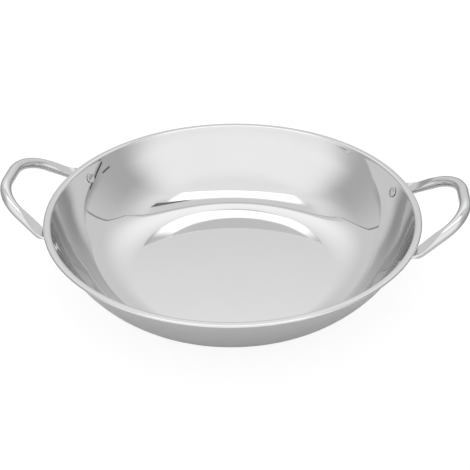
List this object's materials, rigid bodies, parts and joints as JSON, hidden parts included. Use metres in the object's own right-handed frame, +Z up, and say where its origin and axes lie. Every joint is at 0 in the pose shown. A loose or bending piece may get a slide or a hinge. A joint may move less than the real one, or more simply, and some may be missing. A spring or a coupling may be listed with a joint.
{
  "type": "wok",
  "caption": "Polished stainless steel wok with a flat base, curved flared wall, rolled rim and riveted tube loop handles on opposite sides.",
  "frame": {"origin": "centre of the flat base's underside, on the surface the wok stands on", "axes": "+X from the bowl's centre to the right-hand handle, +Y away from the front, +Z up along the bowl's axis"},
  "size_m": [0.4418, 0.36, 0.0995],
  "materials": {
    "bowl_steel": "mirror-polished stainless steel sheet",
    "handle_steel": "polished stainless steel tube",
    "rivet_steel": "polished stainless steel rivet"
  },
  "bodies": {
    "root": {"bowl": "bowl_steel", "handle_left": "handle_steel", "handle_right": "handle_steel", "rivet_left_front": "rivet_steel", "rivet_left_back": "rivet_steel", "rivet_right_front": "rivet_steel", "rivet_right_back": "rivet_steel"}
  },
  "joints": []
}
